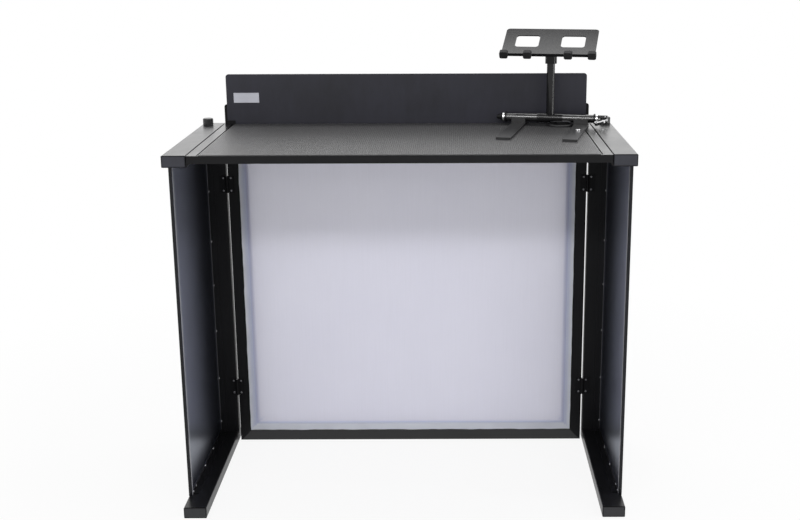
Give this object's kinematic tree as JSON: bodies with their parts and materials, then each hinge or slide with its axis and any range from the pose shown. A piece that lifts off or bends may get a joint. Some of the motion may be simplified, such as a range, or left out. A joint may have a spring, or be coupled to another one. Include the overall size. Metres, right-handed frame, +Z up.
{
  "type": "dj booth",
  "caption": "Folding DJ booth: box-tube front frame with a white scrim, hinged side wings, lift-off tabletop with end rails, guard panel and a tilting laptop stand.",
  "frame": {"origin": "on the floor, at the middle of the booth's outline", "axes": "+Z up, +X to the performer's right, +Y away from the performer, towards the scrim"},
  "size_m": [1.13, 0.529, 1.1972],
  "materials": {
    "black_tube": "satin black powder coat",
    "end_cap": "satin blue-grey black moulding",
    "panel_black": "satin black sheet",
    "trim_black": "matt black edge trim",
    "angle_black": "satin black powder coat",
    "hinge_black": "black coated steel",
    "pin_steel": "turned steel",
    "scrim_white": "white stretch cloth",
    "hook_tape": "white hook-and-loop tape",
    "slab_black": "black laminated board",
    "mat_black": "finely textured black mat",
    "grommet_black": "matt black moulding",
    "guard_black": "satin charcoal sheet",
    "stand_black": "gloss black enamel",
    "bright_chrome": "polished chrome",
    "hook_rubber": "soft black rubber"
  },
  "bodies": {
    "front_frame": {"frame_bottom_rail": "black_tube", "frame_right_stile": "black_tube", "frame_top_rail": "black_tube", "frame_left_stile": "black_tube", "scrim_hook_tape": "hook_tape", "scrim": "scrim_white", "left_frame_leaves": "hinge_black", "right_frame_leaves": "hinge_black", "left_hinge_pins": "pin_steel", "right_hinge_pins": "pin_steel"},
    "left_wing": {"left_foot": "black_tube", "left_foot_caps": "end_cap", "left_post": "black_tube", "left_post_cap": "end_cap", "left_side_panel": "panel_black", "left_panel_trim": "trim_black", "left_post_angle": "angle_black", "left_foot_angle": "angle_black", "left_wing_leaves": "hinge_black"},
    "right_wing": {"right_foot": "black_tube", "right_foot_caps": "end_cap", "right_post": "black_tube", "right_post_cap": "end_cap", "right_side_panel": "panel_black", "right_panel_trim": "trim_black", "right_post_angle": "angle_black", "right_foot_angle": "angle_black", "right_wing_leaves": "hinge_black"},
    "tabletop": {"table_slab": "slab_black", "non_slip_mat": "mat_black", "cable_grommet": "grommet_black", "left_end_rail": "black_tube", "right_end_rail": "black_tube", "rail_caps": "end_cap", "rail_knobs": "grommet_black", "guard_brackets": "angle_black", "stand_left_foot": "stand_black", "stand_right_foot": "stand_black", "stand_thumb_screw": "bright_chrome", "cross_rings": "bright_chrome", "cross_nut": "stand_black", "lever_cheeks": "stand_black", "lever_pin": "pin_steel"},
    "guard": {"guard_panel": "guard_black"},
    "stand_mast": {"cross_tube": "stand_black", "cross_flanges": "stand_black", "mast": "stand_black", "mast_collar": "stand_black", "tray_fork": "stand_black", "tray_pin": "pin_steel"},
    "stand_lever": {"release_lever": "bright_chrome"},
    "stand_tray": {"tray_plate": "stand_black", "tray_hooks": "hook_rubber"}
  },
  "joints": [
    {"name": "left_wing_fold", "type": "hinge", "parent": "front_frame", "child": "left_wing", "pos_m": [-0.5045, 0.231, 0.4705], "axis": [0, 0, 1], "range_deg": [0, 90]},
    {"name": "right_wing_fold", "type": "hinge", "parent": "front_frame", "child": "right_wing", "pos_m": [0.5045, 0.231, 0.4705], "axis": [0, 0, -1], "range_deg": [0, 90]},
    {"name": "tabletop_lift", "type": "slide", "parent": "front_frame", "child": "tabletop", "axis": [0, 0, 1], "range_m": [0, 0.3]},
    {"name": "guard_lift", "type": "slide", "parent": "tabletop", "child": "guard", "axis": [0, 0, 1], "range_m": [0, 0.08]},
    {"name": "mast_tilt", "type": "hinge", "parent": "tabletop", "child": "stand_mast", "pos_m": [0.393, 0.197, 0.961], "axis": [0.9781, -0.2079, 0], "range_deg": [-8, 30]},
    {"name": "lever_flip", "type": "hinge", "parent": "tabletop", "child": "stand_lever", "pos_m": [0.53972, 0.16581, 0.961], "axis": [-0.0911, -0.4288, 0.8988], "range_deg": [0, 90]},
    {"name": "tray_tilt", "type": "hinge", "parent": "stand_mast", "child": "stand_tray", "pos_m": [0.393, 0.197, 1.16], "axis": [0.9781, -0.2079, 0], "range_deg": [-29, 20]}
  ]
}
